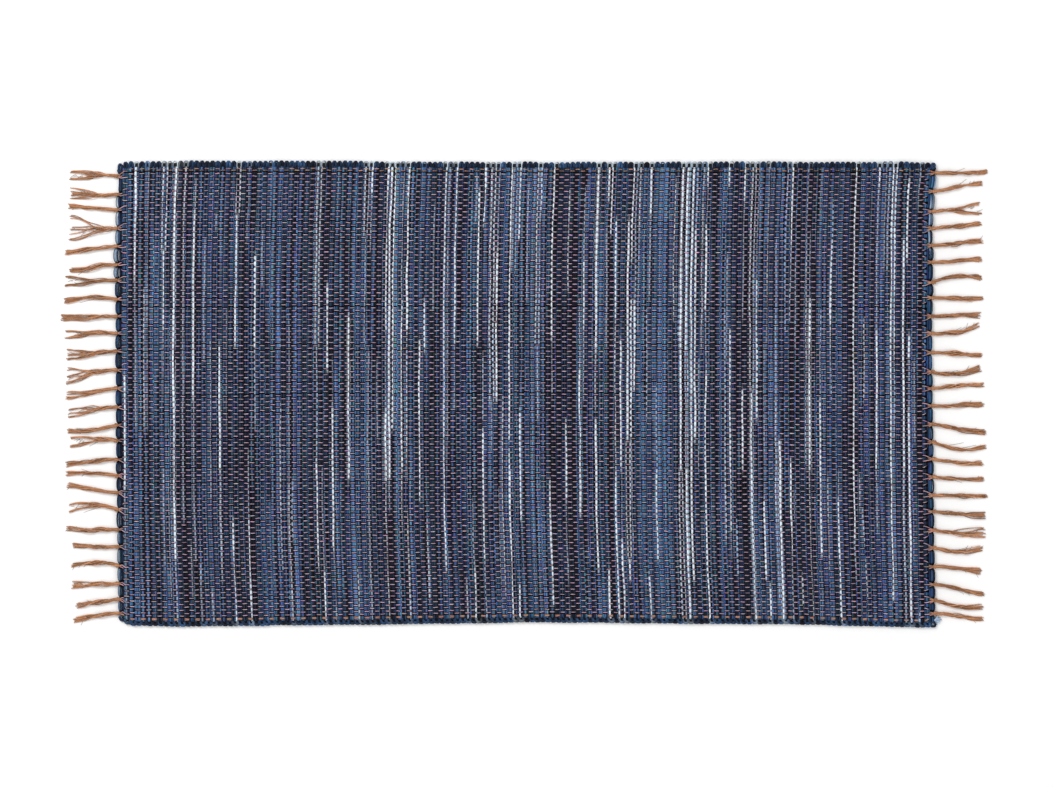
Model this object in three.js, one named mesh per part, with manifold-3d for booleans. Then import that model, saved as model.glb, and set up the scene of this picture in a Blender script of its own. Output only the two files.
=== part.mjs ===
// Flat-woven cotton rag rug with knotted tassels along both short ends.
// Millimetres, +Z up. The rug lies on Z = 0 with its long side along X and its centre over the origin.
import * as THREE from "three";
import Module from "manifold-3d";
import { mergeVertices } from "three/addons/utils/BufferGeometryUtils.js";

const wasm = await Module();
wasm.setup();

// Woven cloth
const CLOTH_LENGTH = 1057; // between the end picks, along X
const CLOTH_THICKNESS = 6;
const EDGE_HEIGHT = 3; // height of the widest line of the rounded edges
const PICK_COUNT = 154; // thick weft bundles side by side, each one a rib
const RIB_DEPTH = 1.6; // crest to valley
const RIB_STATIONS = [0.25, 0.5, 0.75]; // shares of the width at which a rib follows the picks' bow
const SELVEDGE_ROLL = 5; // width over which a selvedge rounds off
const SELVEDGE_SCALLOP = 1.6; // how far a valley draws in from the loops of its neighbours
const UNDERSIDE_INSET = 2.2; // the flat underside starts this far inside the widest line
const UNDERSIDE_MARGIN = 16; // width of the underside's border
const END_BOW_SHARE = 0.5; // the end picks bow this much of what the middle picks do

// Scalloped last pick: drawn in at each knot, bulging between knots
const NOTCH_HALF_WIDTH = 3.6;
const BULGE_DEPTH = 3.4;
const CORNER_BULGE_DEPTH = 1.7; // between the last knot and the corner

// Tassels
const SEAT_GAP = 0.35; // knot to cloth
const KNOT_LENGTH = 6;
const KNOT_WIDTH = 6.4;
const KNOT_HEIGHT = 5;
const KNOT_ROUNDING = 1.3; // taken off both ends and off the shoulders
const STRANDS = 5;
const STRAND_WIDTH = 1.1;
const STRAND_HEIGHT = 1.2;
const STRAND_STEPS = 3;
const ROOT_PITCH = 1.18; // strand spacing inside the knot
const OPEN_PITCH = 1.6; // least strand spacing at the tips
const CUT_BACK = [3, 0.5, 2, 5, 0]; // how much shorter strands are cut, taken in turn from tassel to tassel

// Lie of the two selvedges: far is the +Y one, near the -Y one
const SELVEDGES = [
  { along: -530, far: 299.5, near: -297.5 },
  { along: -450, far: 301.5, near: -300.5 },
  { along: -280, far: 301.8, near: -298.5 },
  { along: -100, far: 300.8, near: -296.5 },
  { along: 0, far: 300.5, near: -294.5 },
  { along: 130, far: 300.5, near: -296 },
  { along: 340, far: 300.8, near: -297.5 },
  { along: 480, far: 300.5, near: -301 },
  { along: 540, far: 300, near: -301.8 },
];

// Bow of the picks: how far a pick is carried along X at each place across the rug
const BOW = [
  { across: -305, shift: 7.5 },
  { across: -215, shift: 5 },
  { across: -110, shift: 3 },
  { across: 40, shift: 0 },
  { across: 213, shift: 0.8 },
  { across: 305, shift: 3.2 },
];

// Tassels from the +Y corner to the -Y corner: where the knot and the tips lie across the rug, how far the
// longest strand reaches past the cloth, how wide the tips spread, and how far the middle sways across
const LEFT_TASSELS = [
  { root: 283, tip: 283, reach: 61, spread: 11, sway: 2 },
  { root: 259, tip: 259, reach: 60, spread: 13, sway: 0 },
  { root: 239, tip: 243, reach: 62, spread: 8, sway: 0 },
  { root: 215, tip: 215, reach: 61, spread: 27, sway: 0 },
  { root: 192, tip: 184, reach: 66, spread: 7, sway: 0 },
  { root: 168, tip: 160, reach: 60, spread: 7, sway: 1 },
  { root: 148, tip: 145, reach: 66, spread: 13, sway: 0 },
  { root: 123, tip: 121, reach: 67, spread: 8, sway: 3 },
  { root: 101, tip: 99, reach: 71, spread: 10, sway: 0 },
  { root: 79, tip: 77, reach: 66, spread: 10, sway: 0 },
  { root: 56, tip: 51, reach: 64, spread: 13, sway: 0 },
  { root: 31.5, tip: 24, reach: 64, spread: 19, sway: 2 },
  { root: 8, tip: -2, reach: 65, spread: 10, sway: 0 },
  { root: -16.5, tip: -25, reach: 62, spread: 11, sway: 1 },
  { root: -40, tip: -48, reach: 63, spread: 7, sway: -2 },
  { root: -60, tip: -62, reach: 60, spread: 12, sway: 3 },
  { root: -84.5, tip: -91, reach: 66, spread: 7, sway: 2 },
  { root: -105.5, tip: -104, reach: 66, spread: 7, sway: 2 },
  { root: -127.5, tip: -118, reach: 65, spread: 7, sway: 0 },
  { root: -149.5, tip: -148, reach: 62, spread: 11, sway: 5 },
  { root: -175.5, tip: -174, reach: 66, spread: 8, sway: 0 },
  { root: -197.5, tip: -197, reach: 58, spread: 8, sway: 0 },
  { root: -222, tip: -222, reach: 60, spread: 7, sway: 4 },
  { root: -245, tip: -245.5, reach: 60, spread: 10, sway: -2 },
  { root: -265.5, tip: -273, reach: 55, spread: 8, sway: 0 },
  { root: -284, tip: -294, reach: 58, spread: 7, sway: 2 },
];
const RIGHT_TASSELS = [
  { root: 287, tip: 288.5, reach: 66, spread: 8, sway: -1 },
  { root: 263, tip: 274, reach: 62, spread: 7, sway: 0 },
  { root: 237, tip: 241, reach: 62, spread: 15, sway: 0 },
  { root: 215, tip: 221, reach: 63, spread: 7, sway: 0 },
  { root: 193, tip: 199, reach: 65, spread: 7, sway: 0 },
  { root: 171, tip: 175, reach: 63, spread: 7, sway: 0 },
  { root: 145, tip: 150, reach: 63, spread: 8, sway: 5 },
  { root: 125, tip: 124, reach: 65, spread: 7, sway: 0 },
  { root: 101, tip: 102.5, reach: 62, spread: 8, sway: 0 },
  { root: 79, tip: 89, reach: 60, spread: 8, sway: -4 },
  { root: 54, tip: 51, reach: 64, spread: 7, sway: 0 },
  { root: 29, tip: 34, reach: 63, spread: 9, sway: -5 },
  { root: 7.5, tip: 13, reach: 66, spread: 7, sway: 0 },
  { root: -15, tip: -12.5, reach: 66, spread: 7, sway: 0 },
  { root: -39, tip: -48, reach: 68, spread: 9, sway: 0 },
  { root: -62, tip: -69, reach: 68, spread: 7, sway: -5 },
  { root: -84, tip: -90.5, reach: 64, spread: 7, sway: -2 },
  { root: -107, tip: -109, reach: 65, spread: 7, sway: -2 },
  { root: -131, tip: -132.5, reach: 69, spread: 7, sway: 0 },
  { root: -152, tip: -157, reach: 66, spread: 9, sway: 0 },
  { root: -176, tip: -180, reach: 66, spread: 14, sway: -3 },
  { root: -199, tip: -200, reach: 62, spread: 7, sway: -3 },
  { root: -223.5, tip: -230, reach: 61, spread: 9, sway: 2 },
  { root: -246.5, tip: -258.5, reach: 64, spread: 7, sway: 0 },
  { root: -267, tip: -277, reach: 62, spread: 7, sway: -2 },
  { root: -284, tip: -291, reach: 62, spread: 7, sway: 0 },
];

const WELD_TOLERANCE = 1e-4; // corners closer than this are one

// Finishes
const INDIGO = new THREE.MeshStandardMaterial({ color: 0x3f4a66, roughness: 0.95, metalness: 0 });
const COPPER_YARN = new THREE.MeshStandardMaterial({ color: 0xb07d5b, roughness: 0.9, metalness: 0 });

// Value of one column of a table at a place along its key column, straight between rows
function along(table, key, column, place) {
  const last = table.length - 1;
  let row = 1;
  while (row < last && table[row][key] < place) {
    row += 1;
  }
  const low = table[row - 1];
  const high = table[row];
  const share = THREE.MathUtils.clamp((place - low[key]) / (high[key] - low[key]), 0, 1);
  return THREE.MathUtils.lerp(low[column], high[column], share);
}

function endLine(side, y) {
  return (side * CLOTH_LENGTH) / 2 + END_BOW_SHARE * along(BOW, "across", "shift", y);
}

// Grows one indexed mesh from points and the bands between lines of them
class Skin {
  constructor() {
    this.points = [];
    this.faces = [];
  }

  point(x, y, z) {
    this.points.push(new THREE.Vector3(x, y, z));
    return this.points.length - 1;
  }

  face(a, b, c) {
    if (a !== b && b !== c && c !== a) {
      this.faces.push(a, b, c);
    }
  }

  // Share of its own run at which each point of a line lies
  shares(line, axis) {
    const start = this.points[line[0]][axis];
    const run = this.points[line[line.length - 1]][axis] - start;
    return line.map((index) => (this.points[index][axis] - start) / run);
  }

  // Fills the band between two lines that run the same way, whatever number of points each has
  band(left, right, axis) {
    const leftShares = this.shares(left, axis);
    const rightShares = this.shares(right, axis);
    let i = 0;
    let j = 0;
    while (i < left.length - 1 || j < right.length - 1) {
      const leftNext = i < left.length - 1 ? leftShares[i + 1] : Infinity;
      const rightNext = j < right.length - 1 ? rightShares[j + 1] : Infinity;
      if (leftNext <= rightNext) {
        this.face(left[i], right[j], left[i + 1]);
        i += 1;
      } else {
        this.face(left[i], right[j], right[j + 1]);
        j += 1;
      }
    }
  }

  geometry() {
    const geometry = new THREE.BufferGeometry();
    geometry.setFromPoints(this.points);
    geometry.setIndex(this.faces);
    geometry.computeVertexNormals();
    return geometry;
  }
}

// Point of one rib, at a place across the cloth. Halves count crests and valleys from the left end
function ribPoint(skin, half, y, z) {
  const share = (half + 1) / (2 * PICK_COUNT);
  const bowShare = THREE.MathUtils.lerp(END_BOW_SHARE, 1, Math.sin(Math.PI * share));
  return skin.point((share - 0.5) * CLOTH_LENGTH + bowShare * along(BOW, "across", "shift", y), y, z);
}

// Where one rib meets the two selvedges. A valley draws in from the loops beside it
function ribEnds(half) {
  const place = ((half + 1) / (2 * PICK_COUNT) - 0.5) * CLOTH_LENGTH;
  const inward = half % 2 === 0 ? 0 : SELVEDGE_SCALLOP;
  const near = along(SELVEDGES, "along", "near", place);
  const far = along(SELVEDGES, "along", "far", place);
  return { near, far, inward };
}

// One line of points across the cloth, on a pick's crest or in the valley beside it
function ribLine(skin, half) {
  const { near, far, inward } = ribEnds(half);
  const top = half % 2 === 0 ? CLOTH_THICKNESS : CLOTH_THICKNESS - RIB_DEPTH;
  return [
    ribPoint(skin, half, near + inward, EDGE_HEIGHT),
    ribPoint(skin, half, near + SELVEDGE_ROLL, top),
    ...RIB_STATIONS.map((share) => ribPoint(skin, half, THREE.MathUtils.lerp(near, far, share), top)),
    ribPoint(skin, half, far - SELVEDGE_ROLL, top),
    ribPoint(skin, half, far - inward, EDGE_HEIGHT),
  ];
}

// Places along one short end: drawn in at the knots, bulging between them
function endPlaces(tassels, near, far) {
  const roots = tassels.map((tassel) => tassel.root).reverse();
  const places = [{ y: (near + roots[0] - NOTCH_HALF_WIDTH) / 2, bulge: CORNER_BULGE_DEPTH }];
  roots.forEach((root, index) => {
    places.push({ y: root - NOTCH_HALF_WIDTH, bulge: 0 });
    places.push({ y: root + NOTCH_HALF_WIDTH, bulge: 0 });
    if (index < roots.length - 1) {
      places.push({ y: (root + roots[index + 1]) / 2, bulge: BULGE_DEPTH });
    }
  });
  places.push({ y: (far + roots[roots.length - 1] + NOTCH_HALF_WIDTH) / 2, bulge: CORNER_BULGE_DEPTH });
  return places;
}

// Last pick of one short end: its crest, its widest line and the underside's edge below it
function endLines(skin, side, tassels) {
  const half = side < 0 ? 0 : 2 * PICK_COUNT - 2;
  const { near, far } = ribEnds(half);
  const nearCorner = ribPoint(skin, half, near, EDGE_HEIGHT);
  const farCorner = ribPoint(skin, half, far, EDGE_HEIGHT);
  const places = endPlaces(tassels, near, far);
  const inside = places.filter(({ y }) => y > near + SELVEDGE_ROLL && y < far - SELVEDGE_ROLL);
  const crest = [
    nearCorner,
    ribPoint(skin, half, near + SELVEDGE_ROLL, CLOTH_THICKNESS),
    ...inside.map(({ y }) => ribPoint(skin, half, y, CLOTH_THICKNESS)),
    ribPoint(skin, half, far - SELVEDGE_ROLL, CLOTH_THICKNESS),
    farCorner,
  ];
  const rim = places.map(({ y, bulge }) => skin.point(endLine(side, y) + side * bulge, y, EDGE_HEIGHT));
  const base = places.map(({ y }) => skin.point(endLine(side, y) - side * UNDERSIDE_INSET, y, 0));
  return {
    crest,
    rim: [nearCorner, ...rim, farCorner],
    base: [
      ribPoint(skin, half, near + UNDERSIDE_INSET, 0),
      ...base,
      ribPoint(skin, half, far - UNDERSIDE_INSET, 0),
    ],
  };
}

function clothGeometry() {
  const skin = new Skin();
  const left = endLines(skin, -1, LEFT_TASSELS);
  const right = endLines(skin, 1, RIGHT_TASSELS);

  // Ribbed top, with the last picks rounding off to the widest line at the short ends
  const columns = [left.crest];
  for (let half = 1; half < 2 * PICK_COUNT - 2; half += 1) {
    columns.push(ribLine(skin, half));
  }
  columns.push(right.crest);
  for (let column = 1; column < columns.length; column += 1) {
    skin.band(columns[column - 1], columns[column], "y");
  }
  skin.band(left.rim, left.crest, "y");
  skin.band(right.crest, right.rim, "y");

  // Rounding under the widest line, all round
  const nearRim = columns.map((line) => line[0]);
  const farRim = columns.map((line) => line[line.length - 1]);
  const nearBase = [left.base[0]];
  const farBase = [left.base[left.base.length - 1]];
  for (let half = 1; half < 2 * PICK_COUNT - 2; half += 1) {
    const { near, far } = ribEnds(half);
    nearBase.push(ribPoint(skin, half, near + UNDERSIDE_INSET, 0));
    farBase.push(ribPoint(skin, half, far - UNDERSIDE_INSET, 0));
  }
  nearBase.push(right.base[0]);
  farBase.push(right.base[right.base.length - 1]);
  skin.band(left.base, left.rim, "y");
  skin.band(right.rim, right.base, "y");
  skin.band(nearRim, nearBase, "x");
  skin.band(farBase, farRim, "x");

  // Flat underside: a border, and one plain field inside it
  const fieldEnd = CLOTH_LENGTH / 2 - UNDERSIDE_MARGIN;
  const fieldPoint = (x, selvedge, inward) => {
    return skin.point(x, along(SELVEDGES, "along", selvedge, x) + inward * UNDERSIDE_MARGIN, 0);
  };
  const nearField = [-fieldEnd, fieldEnd].map((x) => fieldPoint(x, "near", 1));
  const farField = [-fieldEnd, 0, fieldEnd].map((x) => fieldPoint(x, "far", -1));
  skin.band(nearBase, nearField, "x");
  skin.band(farField, farBase, "x");
  skin.band([nearField[0], farField[0]], left.base, "y");
  skin.band(right.base, [nearField[1], farField[2]], "y");
  skin.band(nearField, farField, "x");
  return skin.geometry();
}

// Closed solid of a geometry, for joining
function solid(geometry) {
  const bare = new THREE.BufferGeometry();
  bare.setAttribute("position", geometry.getAttribute("position").clone());
  if (geometry.index) {
    bare.setIndex(geometry.index.clone());
  }
  const welded = mergeVertices(bare, WELD_TOLERANCE);
  const vertProperties = new Float32Array(welded.getAttribute("position").array);
  const triVerts = new Uint32Array(welded.index.array);
  return new wasm.Manifold(new wasm.Mesh({ numProp: 3, vertProperties, triVerts }));
}

function geometryOf(manifold) {
  const mesh = manifold.getMesh();
  const positions = new Float32Array(mesh.vertProperties);
  const corners = new Uint32Array(mesh.triVerts);
  const geometry = new THREE.BufferGeometry();
  geometry.setAttribute("position", new THREE.BufferAttribute(positions, mesh.numProp));
  geometry.setIndex(new THREE.BufferAttribute(corners, 1));
  geometry.computeVertexNormals();
  return geometry;
}

// Knot: a rounded loaf lying along X, flat on the floor, its middle over the origin
function knotGeometry() {
  const half = KNOT_WIDTH / 2;
  const shoulder = half - KNOT_ROUNDING;
  const waist = KNOT_HEIGHT / 2;
  const section = new THREE.Shape([
    new THREE.Vector2(-half, 0),
    new THREE.Vector2(half, 0),
    new THREE.Vector2(half, waist),
    new THREE.Vector2(shoulder, KNOT_HEIGHT),
    new THREE.Vector2(-shoulder, KNOT_HEIGHT),
    new THREE.Vector2(-half, waist),
  ]);
  const knot = new THREE.ExtrudeGeometry(section, {
    steps: 1,
    depth: KNOT_LENGTH - 2 * KNOT_ROUNDING,
    bevelThickness: KNOT_ROUNDING,
    bevelSize: KNOT_ROUNDING,
    bevelOffset: -KNOT_ROUNDING,
    bevelSegments: 1,
  });
  knot.translate(0, 0, KNOT_ROUNDING - KNOT_LENGTH / 2);
  knot.rotateX(Math.PI / 2);
  knot.rotateZ(Math.PI / 2);
  return knot;
}

// One strand of a tassel, three-sided and flat on the floor, from inside the knot out to its cut tip
function strandGeometry(start, sway, end) {
  const middle = start.clone().lerp(end, 0.5);
  middle.y += 2 * sway;
  const path = new THREE.QuadraticBezierCurve3(start, middle, end);
  const section = new THREE.Shape([
    new THREE.Vector2(0, -STRAND_WIDTH / 2),
    new THREE.Vector2(0, STRAND_WIDTH / 2),
    new THREE.Vector2(-STRAND_HEIGHT, 0),
  ]);
  return new THREE.ExtrudeGeometry(section, { steps: STRAND_STEPS, extrudePath: path, bevelEnabled: false });
}

function tasselGeometry(side, number, { root, tip, reach, spread, sway }) {
  const seat = endLine(side, root) + side * SEAT_GAP;
  const middle = seat + (side * KNOT_LENGTH) / 2;
  let tassel = solid(knotGeometry().translate(middle, root, 0));
  const tipPitch = Math.max(OPEN_PITCH, spread / (STRANDS - 1));
  for (let strand = 0; strand < STRANDS; strand += 1) {
    const place = strand - (STRANDS - 1) / 2;
    const length = reach - CUT_BACK[(strand + number) % CUT_BACK.length];
    const start = new THREE.Vector3(middle, root + place * ROOT_PITCH, 0);
    const end = new THREE.Vector3(endLine(side, root) + side * length, tip + place * tipPitch, 0);
    tassel = tassel.add(solid(strandGeometry(start, sway, end)));
  }
  return geometryOf(tassel);
}

function named(name, geometry, material) {
  const mesh = new THREE.Mesh(geometry, material);
  mesh.name = name;
  return mesh;
}

const group = new THREE.Group();
group.name = "rug";
group.add(named("woven_cloth", clothGeometry(), INDIGO));
for (const [label, side, tassels] of [["left", -1, LEFT_TASSELS], ["right", 1, RIGHT_TASSELS]]) {
  tassels.forEach((tassel, index) => {
    const number = index + 1;
    const name = `tassel_${label}_${String(number).padStart(2, "0")}`;
    group.add(named(name, tasselGeometry(side, number, tassel), COPPER_YARN));
  });
}

export default group;
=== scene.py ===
"""Flat-woven rag rug on a pale floor, seen straight down: every pick, warp yarn and tassel is modelled."""

import math

import bpy
import numpy as np
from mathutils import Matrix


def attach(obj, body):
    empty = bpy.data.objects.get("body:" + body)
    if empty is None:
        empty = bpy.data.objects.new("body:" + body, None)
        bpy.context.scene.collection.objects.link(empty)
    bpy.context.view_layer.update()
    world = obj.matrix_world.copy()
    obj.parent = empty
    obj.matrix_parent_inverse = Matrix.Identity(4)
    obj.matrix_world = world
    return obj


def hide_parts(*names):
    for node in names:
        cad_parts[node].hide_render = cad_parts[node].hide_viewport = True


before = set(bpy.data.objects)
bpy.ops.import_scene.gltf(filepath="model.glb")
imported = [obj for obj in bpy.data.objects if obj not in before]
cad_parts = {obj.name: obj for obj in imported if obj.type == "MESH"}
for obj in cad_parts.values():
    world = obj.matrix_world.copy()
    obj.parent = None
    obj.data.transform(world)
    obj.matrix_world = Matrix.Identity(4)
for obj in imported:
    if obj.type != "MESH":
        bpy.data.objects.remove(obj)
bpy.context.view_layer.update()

# Sizes, in millimetres
MM = 0.001  # metres in a millimetre

CLOTH_LENGTH = 1057.0
CLOTH_WIDTH = 600.0
MID_HEIGHT = 3.0  # height of the cloth's middle plane over the floor
PICK_COUNT = 154
PICK_PITCH = CLOTH_LENGTH / PICK_COUNT
END_BOW_RUN = 90.0  # the end picks' own bow passes into the middle picks' bow over this length

# Weft: each pick is a bundle of soft strands that dips under every second warp yarn
STRANDS = 3
PLIES = 2  # of a strand, dyed each for itself
STRAND_PITCH = PICK_PITCH / STRANDS
CROWN_PITCH = 2.2  # between the strands of a pick where they rise and spread
DIP_PITCH = 1.65  # and where a warp yarn binds them
STRAND_HALF_WIDTH = 1.18
STRAND_TOP = 1.5  # from the strand's axis up to its flat crown
STRAND_KEEL = 1.85  # and down to its keel
WEFT_WAVE = 1.25  # how far the axis rises over a warp yarn and dips under the next
CROWN_REACH = 0.3  # share of the warp gap that a crown runs each way
BUNDLE_ROUND = 0.5  # how much lower the outer strands of a pick lie
DIP_PINCH = 0.72  # width left to a strand where a warp yarn binds it
UNDYED_HOLLOW_LIGHT = 0.95  # how much of the painted hollow shade an undyed strand is spared where it goes under
HOLLOW_SHADE = 0.03  # light left in the hollows, where shade is painted on
WEFT_HOLLOWS = (0.75, 1.0)  # painted shade darkens a yarn between these shares of the way down
WARP_HOLLOWS = (0.55, 0.9)
SIDE_WANDER = 0.4
WIDTH_WANDER = 0.12
HEIGHT_WANDER = 0.16
WANDER_SPACING = 34.0
LEAST_HEIGHT = 0.02  # of the lowest yarn over the floor
LIGHT_RISE = 0.3  # of an undyed strand over the others
WEFT_PIECES = 4

# Selvedge loops
LOOP_STRAIGHT = 2.2  # past the last warp yarn
LOOP_STEPS = 8
LOOP_SIDES = 5
LOOP_RADIUS = 1.85
LOOP_THIN = 0.62  # how much thinner an undyed loop is
LOOP_WIDEN = 0.45  # and how much wider
LOOP_SQUARE = 0.55  # 1 for a round turn, less for a squarer one
LOOP_JITTER = 0.5
LOOP_RISE = 0.45  # of one leg over the other
LOOP_SINK = 0.6  # of the strands where they end inside a loop
LOOP_FOOT = 2.3  # between those strands
LOOP_FEET = np.array([0.5, 1.2])  # and where they end, as shares of LOOP_STRAIGHT
LOOP_WANDER = 0.06  # of the radius
PLY_FALL = 0.6  # how fast an undyed ply fades round the turn
PLY_LEAST = 0.2
# Far and near loops: half width, reach past the edge line, lean along the edge, light strands shown
FAR_LOOP = (2.0, 1.6, 0.0, 0.6)
NEAR_LOOP = (3.3, 1.2, 1.5, 0.12)
EDGE_SPACING = 22.0
EDGE_WANDER = 0.35
LOOP_TONE = (0.34, 0.1)  # mean and spread
LOOP_MOTTLE = 0.08

# Warp
WARP_COUNT = 154
NEAR_MARGIN = 8.0  # outermost warp yarn to the selvedge
FAR_MARGIN = 9.2
NEAR_GAP = 1.2  # between the two warp yarns of a selvedge
FAR_GAP = 2.1
WARP_HALF_WIDTH = 0.58
WARP_TOP = 0.45
WARP_KEEL = 0.65
WARP_OVER = 1.3  # axis above the middle plane where it shows
WARP_UNDER = 1.6  # and below it where it is hidden
DASH_REACH = 0.2  # share of the pick pitch that a showing dash runs each way
DASH_TILT = 0.16  # how far the two ends of a dash lie off the row
DASH_RISE = 0.1
DASH_TONE = 0.15
DASH_HUE = 0.1
EDGE_RISE = 0.35  # of the warp yarns at the selvedges
WARP_JITTER = 0.06  # share of the warp pitch
WARP_WANDER = (25.0, 0.1)  # of the width: spacing and amount
YARN_TONE = 0.07  # spread of tone from yarn to yarn
SHADE_LIMITS = (0.5, 1.5)
WARP_PIECES = 2
# Slow waves of the warp rows: how many, turn for a millimetre along, turn for a yarn across, depth
ROW_WAVES = 8
ROW_WAVE_ALONG = (0.004, 0.03)
ROW_WAVE_ACROSS = (0.02, 0.22)
ROW_WAVE_DEPTH = 0.12
# Left and right end: the warp yarns draw together towards a knot over this length
GATHER_LENGTH = {-1: 8.0, 1: 13.0}
GATHER_SHARE = 0.8
KNOT_DRAW = {-1: 4.4, 1: 6.6}  # warp yarns this near to a knot show on the last pick
WARP_TUCK = 0.5  # the warp yarns meet this far inside the end

# Scalloped last picks
CORNER_BULGE = 0.6
NOTCH_DEPTH = 2.6  # drawn in at a knot
NOTCH_WIDTH = 3.0
BULGE_SHARES = (1.0, 0.55, 0.15)  # of the scallop, from the outermost strand inwards
END_WAVE = 0.4
END_HALF_WIDTH = 1.3
BULGE_EXTRA = 0.4
END_TONE = (0.40, 0.12)

# Inner sheet that closes the weave, near-black painted shade for its inside
GROUND_TOP = 2.7
GROUND_BOTTOM = 1.3
GROUND_INSET = 3.6  # from the two short ends
GROUND_SIDE_INSET = 1.6
GROUND_ROWS = 30
GROUND_COLUMNS = 50

# Tassels
TASSEL_TUCK = 1.0  # a tassel starts this far inside the end
KNOT_RUN = (-1.2, 4.2)  # from the end line outwards
KNOT_RADIUS = 1.9
KNOT_TURNS = 2.4
KNOT_YARN = 1.0
KNOT_STEPS = 22
KNOT_SIDES = 5
KNOT_WAIST = 0.72  # radius at a knot's two ends, as a share of the middle
KNOT_LIFT = 0.4
KNOT_TAPER = 0.6  # of the winding yarn at its two ends
KNOT_SHADE = 0.85
KNOT_MOTTLE = (2.0, 0.1)
TASSEL_YARNS = 10
TASSEL_YARN = 0.74  # radius of one yarn
TASSEL_RING = 1.65  # radius at which the yarns lie round each other
TASSEL_EXTRA = 2.0  # the longest yarn past the listed reach
TASSEL_CUT = 4.5  # most that a yarn is cut shorter than the longest
TASSEL_CLUMPS = (2, 4)  # fewest and most that the yarns of an open tassel gather in
CLUMP_SPREAD = 0.06
TASSEL_LOOSE = 0.1  # share of the spread by which a yarn strays half way
TASSEL_STEPS = 15
TASSEL_SIDES = 4
TASSEL_TURNS = (0.9, 1.7)  # fewest and most that the yarns wind round each other
EARLY_OPENING = (0.12, 0.3)  # share of the length from which an open tassel spreads
LATE_OPENING = (0.3, 0.6)
RAMBLE = (20.0, 0.7)  # of the whole tassel: spacing and amount
RAMBLE_START = 2.5
YARN_RAMBLE = (15.0, 0.45)  # of one yarn in it
YARN_RAMBLE_START = 3.0
RING_WIDEN = 0.25
LEAST_SPREAD = 4.0
TIP_JITTER = 0.4
STRAY_PEAK = 1.3  # above 1 for a stray that is widest past the middle
OPEN_SINK = 0.8  # how far the yarns of an opened tassel sink to the floor
DROP_RATE = 4.0  # a tassel reaches the floor over one part in this of its length
YARN_WANDER_SPACING = 0.16  # share of the length
YARN_RADIUS_WANDER = 0.07
YARN_SHADE_WANDER = 0.1
YARN_RADII = (0.85, 1.1)
TIP_TAPER = 0.75
TASSEL_SHADE = (1.0, 0.22)
TASSEL_SHADE_LIMITS = (0.5, 1.6)
TIGHT_SPREAD = 9.0  # a tassel that spreads more than this opens early
HAIRS = 6  # loose fibres to a tassel
LONG_HAIRS = 2
HAIR_RADIUS = 0.3
HAIR_STEPS = 7
HAIR_SIDES = 3
HAIR_CURVE = 1.6
HAIR_LIFT = 1.2
HAIR_TAPER = 0.6
HAIR_SHADES = (0.8, 1.5)
LONG_HAIR_START = (0.15, 0.45)  # share of the tassel's length
SHORT_HAIR_START = (0.6, 0.92)
LONG_HAIR_RUN = (20, 34)
SHORT_HAIR_RUN = (4, 9)
HAIR_PAST_TIP = 1.5
HAIR_SCATTER = 0.3
HAIR_DRIFT = 2.5
FRINGE_MAP_COLUMNS = 4

# Bake map: margins left round each yarn, as shares of its own cell
MAP_END_MARGIN = 0.01
MAP_SIDE_MARGIN = 0.06
LEAST_LENGTH = 1e-6  # keeps an upright yarn's sideways vector from dividing by zero

# Chart places are pixels of the photo: millimetres to a pixel, and the pixel at the rug's middle
CHART_STEP = 1.295
CHART_MIDDLE = (524.25, 394.3)

# Tables
# Lie of the two selvedges: along the rug, far side, near side
SELVEDGES = np.array([
    (-530, 295.5, -291.0),
    (-522, 298.8, -295.5),
    (-514, 301.2, -299.5),
    (-450, 301.5, -300.5),
    (-280, 301.8, -298.5),
    (-100, 300.8, -296.5),
    (0, 300.5, -294.5),
    (130, 300.5, -296.0),
    (340, 300.8, -297.5),
    (480, 300.5, -301.0),
    (540, 300.0, -301.8),
])

# Bow of the picks: place across, shift along
BOW = np.array([
    (-305, 6.1),
    (-264, 4.8),
    (-207, 2.6),
    (-150, 0.95),
    (-64, 0.2),
    (80, 0.0),
    (164, 0.5),
    (220, 1.55),
    (277, 3.6),
    (305, 4.8),
])

# Bow of the two short ends: place across, shift along at the left end and at the right end
END_BOW = np.array([
    (-305, 3.75, 3.75),
    (-215, 2.5, 2.5),
    (-110, 1.5, 1.5),
    (40, 0.0, 0.0),
    (213, 0.4, 0.4),
    (262, 1.0, 1.6),
    (285, 1.3, 4.2),
    (305, 1.6, 5.4),
])

# Tassels from the far corner to the near one: root, tip, reach, spread, sway
LEFT_TASSELS = [
    (283, 283, 61, 11, 2),
    (259, 259, 60, 13, 0),
    (239, 243, 62, 8, 0),
    (215, 215, 61, 27, 0),
    (192, 184, 66, 7, 0),
    (168, 160, 60, 7, 1),
    (148, 145, 66, 13, 0),
    (123, 121, 67, 8, 3),
    (101, 99, 71, 10, 0),
    (79, 77, 66, 10, 0),
    (56, 51, 64, 13, 0),
    (31.5, 24, 64, 19, 2),
    (8, -2, 65, 10, 0),
    (-16.5, -25, 62, 11, 1),
    (-40, -48, 63, 7, -2),
    (-60, -62, 60, 12, 3),
    (-84.5, -91, 66, 7, 2),
    (-105.5, -104, 66, 7, 2),
    (-127.5, -118, 65, 7, 0),
    (-149.5, -148, 62, 11, 5),
    (-175.5, -174, 66, 8, 0),
    (-197.5, -197, 58, 8, 0),
    (-222, -222, 60, 7, 4),
    (-245, -245.5, 60, 10, -2),
    (-265.5, -273, 55, 8, 0),
    (-284, -294, 58, 7, 2),
]
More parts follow.
